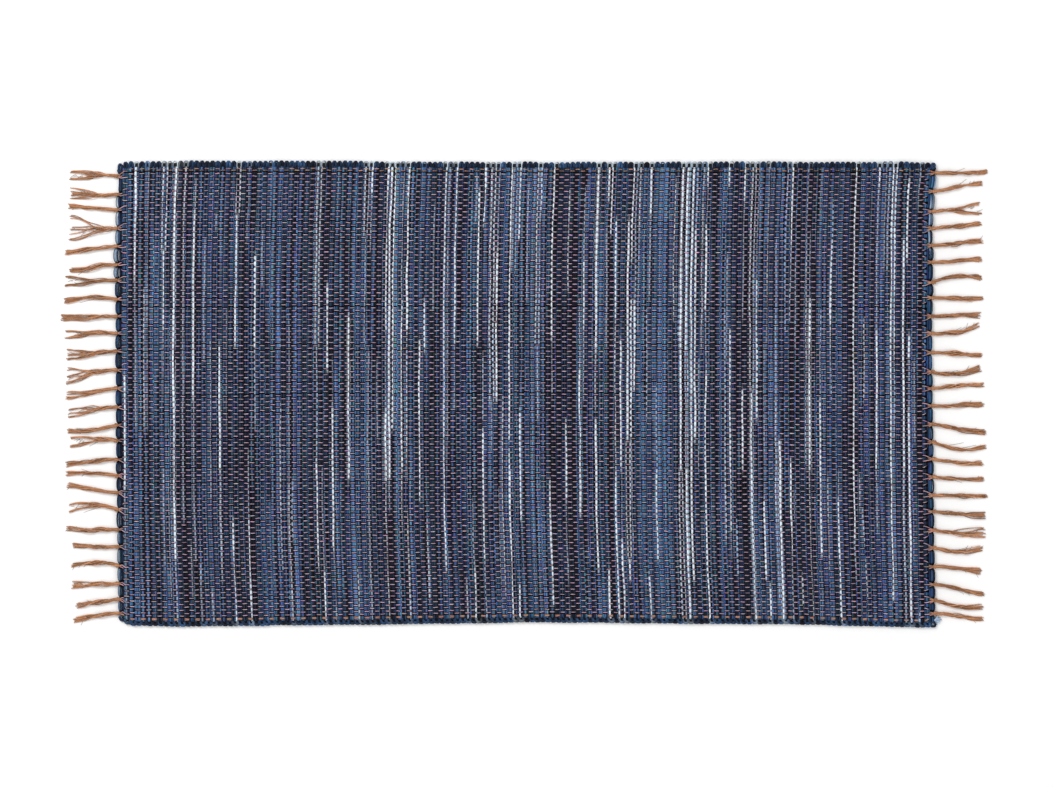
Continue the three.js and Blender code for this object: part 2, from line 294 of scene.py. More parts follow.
RIGHT_TASSELS = [
    (287, 288.5, 66, 8, -1),
    (263, 274, 62, 7, 0),
    (237, 241, 62, 15, 0),
    (215, 221, 63, 7, 0),
    (193, 199, 65, 7, 0),
    (171, 175, 63, 7, 0),
    (145, 150, 63, 8, 5),
    (125, 124, 65, 7, 0),
    (101, 102.5, 62, 8, 0),
    (79, 89, 60, 8, -4),
    (54, 51, 64, 7, 0),
    (29, 34, 63, 9, -5),
    (7.5, 13, 66, 7, 0),
    (-15, -12.5, 66, 7, 0),
    (-39, -48, 68, 9, 0),
    (-62, -69, 68, 7, -5),
    (-84, -90.5, 64, 7, -2),
    (-107, -109, 65, 7, -2),
    (-131, -132.5, 69, 7, 0),
    (-152, -157, 66, 9, 0),
    (-176, -180, 66, 14, -3),
    (-199, -200, 62, 7, -3),
    (-223.5, -230, 61, 9, 2),
    (-246.5, -258.5, 64, 7, 0),
    (-267, -277, 62, 7, -2),
    (-284, -291, 62, 7, 0),
]

# How far the end pick stands out between each tassel and the next, from the far corner
LEFT_BULGES = (
    -2.2, 1.0, 1.2, 1.4, 3.8, 3.2, 1.6, 1.3, 1.3, 1.5, 1.3, 0.6, 1.0,
    0.7, 1.5, 1.1, 1.9, 1.2, 0.5, 1.3, 0.6, 0.6, 0.6, 0.4, 0.5,
)
RIGHT_BULGES = (
    1.4, 1.4, 0.3, -0.4, 1.1, 0.7, 1.5, 0.3, 0.1, 0.6, 0.2, 0.1, -0.4,
    0.2, 0.1, 0.3, 0.9, 1.1, 0.3, 0.2, 0.1, 0.4, 0.5, 0.3, 0.3,
)

# Yarn shades from the darkest dye to the brightest, display red, green, blue
DYES = np.array([
    (0.00, 22, 22, 32),
    (0.22, 30, 36, 50),
    (0.45, 42, 66, 98),
    (0.70, 72, 112, 160),
    (1.00, 114, 158, 206),
])
PALE_DYE = (178, 202, 228)
WHITE_DYE = (230, 245, 255)
BLUE_DYE = (84, 126, 176)
COPPER = (184, 156, 174)
EDGE_COPPER = (176, 134, 116)
FRINGE_COPPER = (174, 124, 90)
HAIR_COPPER = (124, 98, 82)
# painted shade of the weave's inside, darker than any dye
GROUND_SHADE_COLOUR = (8, 9, 14)

# How blue the yarn is along the rug: chart place, share of bright dye
TONES = np.array([
    (112, 0.36), (130, 0.30), (140, 0.46), (154, 0.62), (160, 0.58), (172, 0.60), (180, 0.20), (194, 0.25),
    (206, 0.50), (218, 0.28), (250, 0.25), (258, 0.40), (266, 0.60), (274, 0.48),
    (284, 0.38), (292, 0.42), (302, 0.54), (312, 0.46), (334, 0.26), (350, 0.44), (360, 0.58), (372, 0.20),
    (384, 0.30), (396, 0.60), (408, 0.35), (420, 0.52), (428, 0.20), (438, 0.38),
    (450, 0.26), (461, 0.24), (470, 0.60), (482, 0.24), (500, 0.42), (530, 0.56), (545, 0.36),
    (560, 0.22), (580, 0.26), (596, 0.36), (608, 0.20), (630, 0.32), (644, 0.70),
    (655, 0.86), (666, 0.64), (676, 0.28), (692, 0.36), (702, 0.42), (716, 0.46),
    (736, 0.20), (748, 0.28), (758, 0.58), (772, 0.56), (790, 0.24), (804, 0.42),
    (816, 0.46), (822, 0.44), (834, 0.66), (846, 0.14), (856, 0.30), (868, 0.56), (888, 0.52), (898, 0.38),
    (908, 0.50), (914, 0.40), (922, 0.24), (934, 0.20),
])

# Light strands. A kind is its dye, the plies that its home is rounded to, and the plies that it takes from
# there, with how fully it covers each
WHITE = (WHITE_DYE, PLIES, ((0, 1.0), (1, 0.75)))
THIN = (WHITE_DYE, 1, ((0, 0.75),))
WHITE_PLY = (WHITE_DYE, 1, ((0, 1.0),))
BROAD = (WHITE_DYE, PLIES, ((-1, 0.35), (0, 1.0), (1, 1.0), (2, 0.3)))
PAIR = (WHITE_DYE, 1, ((-2, 0.95), (2, 0.95)))
PALE = (PALE_DYE, 1, ((0, 0.95),))
PALE_PAIR = (PALE_DYE, 1, ((-2, 0.9), (2, 0.9)))
FAINT = (PALE_DYE, 1, ((0, 0.6),))
BLUE = (BLUE_DYE, 1, ((-1, 0.3), (0, 0.8), (1, 0.6), (2, 0.4)))

# Home of each light strand along the rug, then its lengths across it: kind, from, to, in chart places
LIGHT_STRANDS = [
    (117.4, (WHITE_PLY, 194, 226), (PALE, 226, 280), (FAINT, 525, 615)),
    (123.5, (WHITE, 375, 490), (FAINT, 490, 620)),
    (135, (WHITE, 165, 280), (PALE, 280, 430), (BLUE, 430, 620)),
    (143.5, (THIN, 290, 430)),
    (146.5, (FAINT, 165, 430)),
    (162.3, (PAIR, 165, 250), (WHITE, 250, 330), (PALE, 330, 400), (THIN, 470, 570)),
    (168, (PALE, 480, 600)),
    (172.8, (BROAD, 165, 560), (PALE, 560, 625)),
    (183, (THIN, 165, 340), (PALE, 340, 520)),
    (189, (THIN, 545, 600)),
    (193.5, (PALE, 180, 210), (WHITE, 210, 400), (PALE, 400, 560)),
    (197.5, (PALE, 565, 620)),
    (204, (PALE, 240, 360)),
    (209.5, (THIN, 590, 620)),
    (210.5, (PALE, 340, 500)),
    (214.5, (PALE, 215, 230)),
    (220, (WHITE, 345, 470), (THIN, 470, 580)),
    (226.5, (PALE, 310, 430)),
    (231.5, (WHITE, 520, 620)),
    (236, (PAIR, 165, 215), (WHITE, 215, 345)),
    (246.5, (FAINT, 165, 240)),
    (248, (PALE, 450, 520), (WHITE, 520, 620)),
    (254, (WHITE, 255, 350), (PALE, 350, 430)),
    (261.5, (PALE, 230, 285)),
    (268.5, (BLUE, 165, 330), (BLUE, 500, 620)),
    (280.3, (FAINT, 335, 350), (THIN, 405, 520), (PALE, 520, 570)),
    (288.5, (FAINT, 320, 480), (THIN, 480, 620)),
    (291.5, (PALE, 480, 540)),
    (316.8, (PAIR, 165, 345), (PALE, 345, 460), (WHITE, 460, 570)),
    (321.5, (PALE, 470, 570), (WHITE, 570, 620)),
    (327.3, (WHITE, 285, 370)),
    (332, (PALE, 360, 410), (WHITE, 410, 550), (PALE, 550, 620)),
    (348.3, (BROAD, 315, 480)),
    (355, (THIN, 570, 620)),
    (364.5, (PAIR, 165, 235), (PALE, 235, 345)),
    (368, (PALE, 350, 620)),
    (370.5, (WHITE, 165, 195), (PALE, 195, 250)),
    (377, (PALE, 360, 440)),
    (385.3, (WHITE, 165, 330), (PALE, 330, 410), (BROAD, 410, 480), (THIN, 480, 620)),
    (389, (WHITE, 165, 480), (PALE, 480, 510)),
    (392.2, (WHITE, 165, 430)),
    (401.2, (PALE, 165, 300), (WHITE, 300, 470), (THIN, 470, 530)),
    (406.3, (WHITE, 165, 330), (THIN, 330, 480), (THIN, 510, 620)),
    (419, (BLUE, 165, 330), (WHITE, 340, 500)),
    (424.5, (WHITE, 300, 350)),
    (425.5, (THIN, 520, 600)),
    (433, (PALE, 205, 310)),
    (443, (WHITE, 165, 570)),
    (447, (FAINT, 165, 470)),
    (454, (WHITE, 165, 345), (PALE, 345, 410)),
    (463.5, (THIN, 580, 620)),
    (471.5, (PALE, 500, 570), (WHITE, 570, 620)),
    (474.5, (PALE, 175, 220)),
    (477.5, (WHITE, 190, 345)),
    (482, (WHITE, 165, 225), (PALE, 355, 420), (WHITE, 430, 560), (PALE, 560, 620)),
    (491, (PAIR, 165, 400), (PALE, 400, 450)),
    (497, (PALE, 165, 250), (WHITE, 250, 400)),
    (498.5, (FAINT, 490, 610)),
    (503, (THIN, 395, 595)),
    (508.5, (WHITE, 170, 440), (WHITE, 450, 620)),
    (513, (PALE_PAIR, 170, 270)),
    (515.5, (WHITE, 585, 620)),
    (518, (WHITE, 165, 240)),
    (519, (WHITE, 410, 520)),
    (526.5, (PALE, 180, 300)),
    (537.5, (PAIR, 165, 345), (PALE, 345, 420)),
    (550, (WHITE, 480, 605)),
    (552, (WHITE, 165, 340), (PALE, 340, 395)),
    (565.5, (WHITE, 420, 500), (PALE, 500, 620)),
    (567.5, (THIN, 190, 290)),
    (579.5, (PALE, 300, 370), (WHITE, 370, 515)),
    (582.8, (PALE, 190, 260), (WHITE, 260, 330), (PALE, 330, 400)),
    (595.5, (BROAD, 165, 350), (THIN, 350, 410), (WHITE, 420, 570)),
    (606, (WHITE, 165, 200), (PALE, 230, 350), (WHITE, 570, 620)),
    (610.5, (WHITE, 165, 235)),
    (614.5, (WHITE, 220, 320), (THIN, 320, 470), (WHITE, 470, 620)),
    (621, (WHITE, 340, 470), (PALE, 470, 540), (WHITE, 540, 620)),
    (628, (WHITE, 220, 440), (PAIR, 440, 560), (WHITE, 560, 580)),
    (632, (WHITE, 165, 260), (WHITE, 300, 440), (PALE, 440, 540)),
    (635.5, (PALE, 165, 300), (WHITE, 300, 390)),
    (637.5, (THIN, 165, 235), (FAINT, 235, 330)),
    (647, (PALE, 310, 420), (WHITE, 575, 620)),
    (649.5, (WHITE, 165, 215), (PALE, 215, 300)),
    (652, (BLUE, 300, 420), (BLUE, 500, 560)),
    (656.5, (PALE, 385, 470), (WHITE, 470, 560)),
    (661, (BLUE, 165, 420)),
    (673.2, (THIN, 180, 320)),
    (680.5, (BROAD, 165, 350), (WHITE, 350, 470), (PAIR, 470, 620)),
    (685.3, (WHITE, 165, 350), (PALE, 350, 470), (WHITE, 470, 620)),
    (687.6, (PALE, 165, 350), (THIN, 350, 560)),
    (690.7, (WHITE, 165, 580)),
    (695.3, (PALE, 165, 230), (WHITE, 230, 440)),
    (699, (PALE, 360, 470)),
    (701, (PALE, 165, 200), (THIN, 200, 350)),
    (706, (WHITE, 165, 185), (PALE, 185, 225), (WHITE, 225, 310), (PALE, 310, 375), (WHITE, 375, 620)),
    (725.5, (PALE, 310, 400), (THIN, 400, 540)),
    (727, (WHITE, 165, 185), (PALE, 255, 360)),
    (730, (WHITE, 330, 530), (PALE, 530, 560)),
    (735.5, (PALE, 520, 575)),
    (742.5, (WHITE, 165, 200), (PALE, 200, 320), (WHITE, 390, 470)),
    (751.5, (PAIR, 165, 390), (BROAD, 390, 620)),
    (757, (FAINT, 165, 280), (WHITE, 280, 420)),
    (764, (PALE, 345, 500), (WHITE, 500, 580)),
    (767, (THIN, 165, 345), (WHITE, 585, 620)),
    (775.5, (PALE, 240, 400), (THIN, 400, 525), (PALE, 525, 600)),
    (779, (BROAD, 440, 620)),
    (785.5, (THIN, 165, 200), (PALE, 200, 330)),
    (789.5, (WHITE, 165, 245), (PALE, 245, 320), (WHITE, 460, 550), (PALE, 550, 620)),
    (793, (THIN, 490, 520)),
    (795, (PALE, 260, 350)),
    (799, (THIN, 575, 605)),
    (805.5, (FAINT, 165, 250), (THIN, 250, 360), (PALE, 360, 470)),
    (809.5, (PALE, 230, 300), (BROAD, 300, 470), (THIN, 470, 620)),
    (821, (PALE, 310, 400), (WHITE, 400, 555)),
    (827.5, (THIN, 475, 570), (BLUE, 570, 620)),
    (831.3, (PALE, 200, 240), (WHITE, 240, 350), (PALE, 350, 400)),
    (838.5, (PALE, 470, 500), (WHITE, 500, 620)),
    (853, (WHITE, 165, 540), (PALE, 540, 580)),
    (859.5, (THIN, 475, 510)),
    (862, (THIN, 510, 545)),
    (864, (THIN, 320, 400), (THIN, 560, 600)),
    (876, (WHITE, 165, 190), (PALE, 190, 330), (WHITE, 330, 470), (PALE, 470, 530)),
    (885.5, (PALE_PAIR, 165, 270)),
    (890, (WHITE, 165, 600)),
    (894.5, (WHITE, 165, 360), (PALE, 360, 440)),
    (902.5, (WHITE, 240, 470), (THIN, 470, 620)),
    (906, (WHITE, 180, 260)),
    (909, (WHITE, 335, 360), (PALE, 360, 410), (WHITE, 410, 620)),
    (914, (PALE, 360, 440)),
    (917, (PALE, 612, 620)),
    (918, (PALE, 165, 210)),
    (928.9, (PALE, 200, 250)),
    (931, (FAINT, 190, 225)),
    (932, (PALE, 174, 190)),
]
# Dye lots: mean tone and spread of each
BRIGHT_TONE = (0.72, 0.12)
NAVY_TONE = (0.4, 0.08)
BLACK_TONE = (0.1, 0.07)
TONE_WANDER = (9.0, 0.06)  # along a ply: spacing and amount
END_TONE_WANDER = (20.0, 0.1)
LIGHT_PATCHES = (12.0, 0.16)
PLY_HUE = 0.08
HUE_LIMITS = (0.4, 1.8)
HUE_SPACING = 8.0
HUE_WANDER = (0.2, 0.18, 0.13)  # of red, green and blue along a ply
BRIGHT_LOTS = 0.8  # share of strands in a bright dye where the rug is bluest
NAVY_LOTS = 0.24
LOT_TURNS = (110.0, 1.1)  # of one dye lot into the other: spacing and amount
LIGHT_FROM = 0.2  # red light from which a dye counts as undyed
FADE_LENGTH = 14.0  # over which a light length comes and goes
# Frayed weft end at the near right corner: chart places of its root and of its fibres' tips
TAIL_ROOT = (934.5, 620.0)
TAIL_TIPS = (
    (941.0, 618.0), (942.0, 620.0), (940.5, 621.5),
    (939.5, 623.2), (937.5, 624.8), (938.5, 616.0),
)
TAIL_STEPS = 8
TAIL_SIDES = 4
TAIL_RADIUS = 1.5
TAIL_TAPER = 0.4
TAIL_CURVE = 1.5
TAIL_WANDER = (0.4, 0.3)
TAIL_SHADES = (0.5, 1.2)
CHART_EDGES = (170, 616)  # a length that reaches these runs on into the selvedge loop

# Materials
FIBRE_NOISE = (900, 4)  # scale and detail
FINE_NOISE = (2200, 3)
GROUND_NOISE = (500, 4)
NOISE_BAND = (0.3, 0.7)  # the part of a noise that is spread over a range
YARN_ROUGHNESS = (0.82, 1.0)
YARN_BUMP = 0.6
YARN_SPECULAR = 0.06
SHEEN_ROUGHNESS = 0.6
GROUND_STRETCH = (1, 0.4, 1)
GROUND_SHADES = (0.6, 1.6)
GROUND_BUMP = 0.5
GROUND_BUMP_HEIGHT = 0.0006
GROUND_ROUGHNESS = 0.95

# Floor, light and camera
FLOOR_SIZE = 30.0  # metres
FLOOR_COLOUR = (0.95, 0.95, 0.95, 1)
FLOOR_ROUGHNESS = 0.9
SKY_COLOUR = (1, 1, 1, 1)
SKY_STRENGTH = 0.72
# Softboxes: name, place and size in metres, power in watts
SOFTBOXES = (
    ("key", (-1.6, 1.8, 2.6), 1.4, 55),
    ("fill", (2.2, -1.4, 2.4), 1.8, 18),
)
LENS = 85.0
SENSOR = 36.0
FRAME_WIDTH = 1054
FRAME_HEIGHT = 787
CLIP_END = 100

SEED = 20260
rng = np.random.default_rng(SEED)


# The weave's own frame
def bow(y):
    return np.interp(y, BOW[:, 0], BOW[:, 1])


def far_edge(x):
    return np.interp(x, SELVEDGES[:, 0], SELVEDGES[:, 1])


def near_edge(x):
    return np.interp(x, SELVEDGES[:, 0], SELVEDGES[:, 2])


def end_bow(side, y):
    return np.interp(y, END_BOW[:, 0], END_BOW[:, 1 if side < 0 else 2])


def lengthwise(share, y):
    """Place along the rug at a share of its length, on the pick's own bow."""
    from_end = np.minimum(share, 1 - share) * CLOTH_LENGTH
    middle = smoothstep(from_end / END_BOW_RUN)
    end = np.where(share < 0.5, end_bow(-1, y), end_bow(1, y))
    return (share - 0.5) * CLOTH_LENGTH + end * (1 - middle) + bow(y) * middle


def end_line(side, y):
    return side * CLOTH_LENGTH / 2 + end_bow(side, y)


def linear(colours):
    """Display colours, 0 to 255, as light, by the sRGB curve."""
    c = np.asarray(colours, float) / 255
    return np.where(c <= 0.04045, c / 12.92, ((c + 0.055) / 1.055) ** 2.4)


def wander(places, spacing, width=1.0):
    """Smooth seeded wander along a run of places."""
    count = int((places[-1] - places[0]) / spacing) + 4
    knots = places[0] - spacing + spacing * np.arange(count)
    return width * np.interp(places, knots, rng.normal(0, 1, count))


def smoothstep(x):
    x = np.clip(x, 0, 1)
    return x * x * (3 - 2 * x)


PICK_SHARES = (np.arange(PICK_COUNT) + 0.5) / PICK_COUNT
PICK_X = (PICK_SHARES - 0.5) * CLOTH_LENGTH


def warp_rows():
    """Where each warp yarn crosses each pick: rows are picks, columns warp yarns from the near side."""
    inner = np.linspace(0, 1, WARP_COUNT)
    near = near_edge(PICK_X)[:, None] + NEAR_MARGIN + NEAR_GAP
    far = far_edge(PICK_X)[:, None] - FAR_MARGIN - FAR_GAP
    pitch = (CLOTH_WIDTH - NEAR_MARGIN - FAR_MARGIN - NEAR_GAP - FAR_GAP) / (WARP_COUNT - 1)
    rows = near + inner * (far - near)
    rows += rng.normal(0, WARP_JITTER * pitch, WARP_COUNT)
    for _ in range(ROW_WAVES):
        along = rng.uniform(*ROW_WAVE_ALONG)
        across = rng.uniform(*ROW_WAVE_ACROSS)
        phase = rng.uniform(0, 2 * math.pi)
        rows += ROW_WAVE_DEPTH * np.sin(along * PICK_X[:, None] + across * np.arange(WARP_COUNT) + phase)
    return np.hstack([near - NEAR_GAP, rows, far + FAR_GAP]), pitch


WARP_Y, WARP_PITCH = warp_rows()
WARP_ROWS = WARP_Y.shape[1]
WARP_TURN = np.maximum(np.arange(WARP_ROWS), 1)  # the two of the near selvedge go together


# Yarn meshes
class Yarns:
    """Collects swept yarns and makes one mesh of them, with a dye colour and an unshaded share for painted
    hollow shade on every point.
    """

    def __init__(self, columns=1):
        self.columns = columns  # yarns side by side in one row of the bake map
        self.points = []
        self.dyes = []
        self.unshaded = []
        self.quads = []
        self.quad_maps = []
        self.caps = []
        self.cap_maps = []
        self.count = 0
        self.base = 0

    def add(self, path, section, dye, unshaded=None):
        """A closed yarn: its points, the section at each, its colours, and how unshaded each point is.

        Section offsets are across and up, colours are light, and a point in a hollow gets 0, which is full
        painted shade.
        """
        rings, sides = section.shape[:2]
        tangent = np.gradient(path, axis=0)
        tangent /= np.linalg.norm(tangent, axis=1)[:, None]
        across = np.stack([tangent[:, 1], -tangent[:, 0], np.zeros(rings)], axis=1)
        across /= np.maximum(np.linalg.norm(across, axis=1), LEAST_LENGTH)[:, None]
        up = np.cross(across, tangent)
        points = (
            path[:, None, :]
            + across[:, None, :] * section[:, :, 0:1]
            + up[:, None, :] * section[:, :, 1:2]
        )
        self.points.append(points.reshape(-1, 3))
        each = dye if dye.ndim == 3 else dye[:, None, :]
        self.dyes.append(np.broadcast_to(each, (rings, sides, 3)).reshape(-1, 3))
        self.unshaded.append(np.repeat(np.ones(rings) if unshaded is None else unshaded, sides))
        ring = self.base + sides * np.arange(rings)[:, None] + np.arange(sides)
        nxt = np.roll(ring, -1, axis=1)
        quads = np.stack([ring[:-1], nxt[:-1], nxt[1:], ring[1:]], axis=2)
        self.quads.append(quads.reshape(-1, 4))
        row, column = divmod(self.count, self.columns)
        u = (column + np.linspace(MAP_END_MARGIN, 1 - MAP_END_MARGIN, rings)) / self.columns
        v = row + np.linspace(MAP_SIDE_MARGIN, 1 - MAP_SIDE_MARGIN, sides + 1)
        grid = np.zeros((rings - 1, sides))
        low_u = u[:-1, None] + grid
        high_u = u[1:, None] + grid
        low_v = v[:-1] + grid
        high_v = v[1:] + grid
        quad_map = np.stack([
            np.stack([low_u, low_v], axis=2),
            np.stack([low_u, high_v], axis=2),
            np.stack([high_u, high_v], axis=2),
            np.stack([high_u, low_v], axis=2),
        ], axis=2)
        self.quad_maps.append(quad_map.reshape(-1, 2))
        for cap, at in ((ring[0][::-1], u[0]), (ring[-1], u[-1])):
            for corner in range(1, sides - 1):
                self.caps.append((cap[0], cap[corner], cap[corner + 1]))
                self.cap_maps.extend([(at, row + 0.5)] * 3)
        self.base += rings * sides
        self.count += 1

    def make(self, name, material):
        points = np.concatenate(self.points) * MM
        quads = np.concatenate(self.quads)
        caps = np.array(self.caps)
        mesh = bpy.data.meshes.new(name)
        mesh.vertices.add(len(points))
        mesh.vertices.foreach_set("co", points.ravel())
        mesh.loops.add(quads.size + caps.size)
        mesh.loops.foreach_set("vertex_index", np.concatenate([quads.ravel(), caps.ravel()]))
        mesh.polygons.add(len(quads) + len(caps))
        starts = np.concatenate([4 * np.arange(len(quads)), quads.size + 3 * np.arange(len(caps))])
        mesh.polygons.foreach_set("loop_start", starts)
        mesh.update(calc_edges=True)
        mesh.polygons.foreach_set("use_smooth", np.ones(len(quads) + len(caps), bool))
        rows = math.ceil(self.count / self.columns)
        uv = np.concatenate([np.concatenate(self.quad_maps), np.array(self.cap_maps)])
        uv[:, 1] /= rows
        mesh.uv_layers.new(name="OFBake").data.foreach_set("uv", uv.ravel())
        dye = np.concatenate(self.dyes)
        dye = np.hstack([dye, np.ones((len(dye), 1))])
        mesh.color_attributes.new("dye", "FLOAT_COLOR", "POINT").data.foreach_set("color", dye.ravel())
        unshaded = mesh.attributes.new("unshaded", "FLOAT", "POINT")
        unshaded.data.foreach_set("value", np.concatenate(self.unshaded))
        mesh.materials.append(material)
        piece = bpy.data.objects.new(name, mesh)
        bpy.context.scene.collection.objects.link(piece)
        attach(piece, "root")
        return piece


def flat_section(half_width, top, keel):
    """Three-sided yarn section with a flat crown, which smooth shading rounds."""
    zero = np.zeros_like(half_width)
    return np.stack([
        np.stack([-half_width, top], axis=1),
        np.stack([half_width, top], axis=1),
        np.stack([zero, -keel], axis=1),
    ], axis=1)


def round_section(radius, sides):
    turn = 2 * math.pi * (np.arange(sides) + 0.5) / sides
    ring = np.stack([-np.cos(turn), np.sin(turn)], axis=1)
    return radius[:, None, None] * ring[None]


# Dyes of the weft
def light_lengths():
    """Every charted light length, listed under the ply it takes."""
    lengths = {}
    for home, *parts in LIGHT_STRANDS:
        along = (home - CHART_MIDDLE[0]) * CHART_STEP
        ply = int(PLIES * (along / STRAND_PITCH + PICK_COUNT * STRANDS / 2))
        for (dye, whole, beside), start, stop in parts:
            first = ply - ply % whole
            far = math.inf if start <= CHART_EDGES[0] else (CHART_MIDDLE[1] - start) * CHART_STEP
            near = -math.inf if stop >= CHART_EDGES[1] else (CHART_MIDDLE[1] - stop) * CHART_STEP
            for step, cover in beside:
                lengths.setdefault(first + step, []).append((linear(dye), cover, near, far))
    return lengths


LIGHT_LENGTHS = light_lengths()


def dyed(tone):
    """Light colours of the yarn at each tone, 0 near black to 1 bright blue."""
    tone = np.clip(tone, 0, 1)
    return linear(np.stack([np.interp(tone, DYES[:, 0], DYES[:, c]) for c in (1, 2, 3)], axis=1))


def drawn_tone(share):
    """Tone of one dye lot: bright, navy or near black, the bright ones likelier where the rug is blue."""
    lot = rng.uniform()
    if lot < BRIGHT_LOTS * share:
        return rng.normal(*BRIGHT_TONE)
    if lot < BRIGHT_LOTS * share + NAVY_LOTS:
        return rng.normal(*NAVY_TONE)
    return rng.normal(*BLACK_TONE)


def ply_dye(ply, y):
    """Colours along one ply of a weft strand: two dye lots in turn, under the charted light lengths."""
    pick = ply // (PLIES * STRANDS)
    x = (ply + 0.5) * STRAND_PITCH / PLIES - CLOTH_LENGTH / 2
    share = np.interp(x / CHART_STEP + CHART_MIDDLE[0], TONES[:, 0], TONES[:, 1])
    turn = smoothstep(0.5 + wander(y, *LOT_TURNS))
    tone = drawn_tone(share) * (1 - turn) + drawn_tone(share) * turn + wander(y, *TONE_WANDER)
    if pick in (0, PICK_COUNT - 1):
        tone = rng.normal(*END_TONE) + wander(y, *END_TONE_WANDER)
    colour = dyed(tone)
    drift = np.stack([wander(y, HUE_SPACING, width) for width in HUE_WANDER], axis=1)
    colour = colour * np.clip(1 + rng.normal(0, PLY_HUE, 3) + drift, *HUE_LIMITS)
    patch = wander(y, *LIGHT_PATCHES)
    light = np.zeros(len(y))
    for dye, cover, near, far in LIGHT_LENGTHS.get(ply, ()):
        come = smoothstep((y - near) / FADE_LENGTH + 0.5)
        go = smoothstep((far - y) / FADE_LENGTH + 0.5)
        part = np.clip(come * go * (cover + patch), 0, 1)
        colour = colour * (1 - part)[:, None] + dye * part[:, None]
        light = np.maximum(light, part * (dye[0] > LIGHT_FROM))
    return colour, light


END_ROOTS = {
    -1: np.array([t[0] for t in reversed(LEFT_TASSELS)]),
    1: np.array([t[0] for t in reversed(RIGHT_TASSELS)]),
}
END_BULGES = {
    -1: np.array(LEFT_BULGES[::-1]),
    1: np.array(RIGHT_BULGES[::-1]),
}


def notch(side, y):
    """1 at each knot, falling to 0 beside it."""
    away = np.abs(y[:, None] - END_ROOTS[side]).min(axis=1)
    return np.exp(-((away / NOTCH_WIDTH) ** 2))


def scallop(side, y):
    """How far the last pick stands out between the knots and is drawn in at them."""
    roots = END_ROOTS[side]
    bulges = END_BULGES[side]
    place = np.interp(y, roots, np.arange(len(roots)))
    gap = np.minimum(place.astype(int), len(bulges) - 1)
    bulge = (BULGE_EXTRA + bulges[gap]) * np.sqrt(np.abs(np.sin(math.pi * place)))
    outside = (y < roots[0]) | (y > roots[-1])
    bulge = np.where(outside, CORNER_BULGE * (1 - notch(side, y)), bulge)
    return side * (bulge - NOTCH_DEPTH * notch(side, y))


# Weft
def weft_strand(yarns, pick, k):
    """One strand of a pick, over and under the warp from selvedge to selvedge."""
    number = pick * STRANDS + k
    rows = WARP_Y[pick]
    over = (pick + WARP_TURN) % 2 == 0
    before = np.diff(rows, prepend=rows[0] - WARP_PITCH)
    after = np.diff(rows, append=rows[-1] + WARP_PITCH)
    y = []
    wave = []
    for row, is_over, gap in zip(rows, over, np.minimum(before, after)):
        if is_over:
            y += [row - CROWN_REACH * gap, row + CROWN_REACH * gap]
            wave += [1.0, 1.0]
        else:
            y.append(row)
            wave.append(-1.0)
    y = np.array(y)
    wave = np.array(wave)
    dip = 1.0 * (wave < 0)
    end = {0: -1, PICK_COUNT - 1: 1}.get(pick)
    if end:
        dip = notch(end, y)
        wave = END_WAVE - (1 + END_WAVE) * dip
    place = k - (STRANDS - 1) / 2
    offset = place * (CROWN_PITCH + (DIP_PITCH - CROWN_PITCH) * dip)
    outer = abs(place)

    # The ends lie inside the selvedge loops
    far_y = rows[-1] + LOOP_STRAIGHT * LOOP_FEET
    near_y = rows[0] - LOOP_STRAIGHT * LOOP_FEET[::-1]
    ends = np.full(2, place * LOOP_FOOT)
    sunk = np.full(2, -LOOP_SINK)
    level = np.concatenate([sunk, WEFT_WAVE * wave, sunk])
    inside = np.concatenate([np.zeros(2), np.ones(len(y)), np.zeros(2)])
    dip = np.concatenate([np.zeros(2), dip, np.zeros(2)])
    y = np.concatenate([near_y, y, far_y])
    x = np.concatenate([ends, offset, ends])

    dyes, lights = zip(*[ply_dye(PLIES * number + ply, y) for ply in range(PLIES)])
    light = np.mean(lights, axis=0)
    colours = np.stack([dyes[0], dyes[1], (dyes[0] + dyes[1]) / 2], axis=1)
    lift = HEIGHT_WANDER * rng.normal() - BUNDLE_ROUND * outer
    x = x + inside * wander(y, WANDER_SPACING, SIDE_WANDER)
    height = lift + wander(y, WANDER_SPACING, HEIGHT_WANDER) + LIGHT_RISE * light
    z = MID_HEIGHT + level + inside * height
    half = (END_HALF_WIDTH if end else STRAND_HALF_WIDTH) * (1 - (1 - DIP_PINCH) * dip)
    half = np.where(inside > 0, half * (1 + wander(y, WANDER_SPACING, WIDTH_WANDER)), STRAND_HALF_WIDTH)
    if end:
        depth = BULGE_SHARES[k if pick == 0 else STRANDS - 1 - k]
        x = x + depth * scallop(end, y)
    path = np.stack([lengthwise(PICK_SHARES[pick], y) + x, y, z], axis=1)
    keel = np.minimum(STRAND_KEEL, z - LEAST_HEIGHT)
    # Dips and knot notches get painted shade, as if in a hollow under the warp; undyed strands take less of
    # it
    unshaded = 1 - dip * (1 - UNDYED_HOLLOW_LIGHT * light)
    yarns.add(path, flat_section(half, np.full(len(y), STRAND_TOP), keel), colours, unshaded)


EDGE_LINES = {
    -1: near_edge(PICK_X) + wander(PICK_X, EDGE_SPACING, EDGE_WANDER),
    1: far_edge(PICK_X) + wander(PICK_X, EDGE_SPACING, EDGE_WANDER),
}


